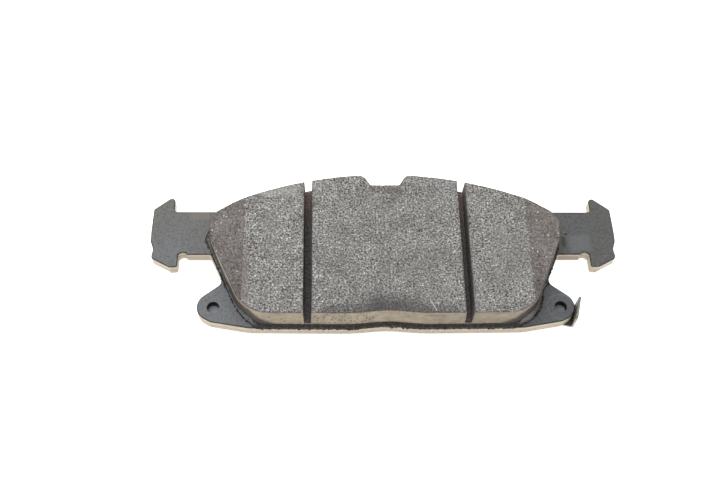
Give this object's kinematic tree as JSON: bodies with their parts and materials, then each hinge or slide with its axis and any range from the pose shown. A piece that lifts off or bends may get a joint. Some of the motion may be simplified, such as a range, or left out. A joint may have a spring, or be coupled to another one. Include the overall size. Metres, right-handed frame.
{
  "type": "disc brake pad",
  "caption": "Slotted, end-chamfered disc brake pad with a hammerhead steel backing plate, two dimpled ears, a bonded shim and a bend-up wear indicator.",
  "frame": {"origin": "middle of the shim's outer face, where the caliper's piston or fingers press", "axes": "+Z towards the disc, square to the friction face; +X along the pad's length, the disc's direction of travel; +Y away from the wheel's centre"},
  "size_m": [0.1948, 0.0659, 0.0196],
  "materials": {
    "plate_steel": "satin",
    "friction_compound": "matte",
    "underlayer_compound": "matte",
    "bonding_resin": "matte",
    "spring_steel": "satin",
    "shim_steel": "satin",
    "shim_rubber": "matte",
    "shim_glue": "matte"
  },
  "bodies": {
    "root": {"backing_plate": "plate_steel", "bonding_film": "bonding_resin", "underlayer": "underlayer_compound", "friction_block": "friction_compound", "wear_indicator": "spring_steel", "shim_adhesive": "shim_glue", "shim_inner_rubber": "shim_rubber", "shim_steel_core": "shim_steel", "shim_outer_rubber": "shim_rubber"}
  },
  "joints": []
}
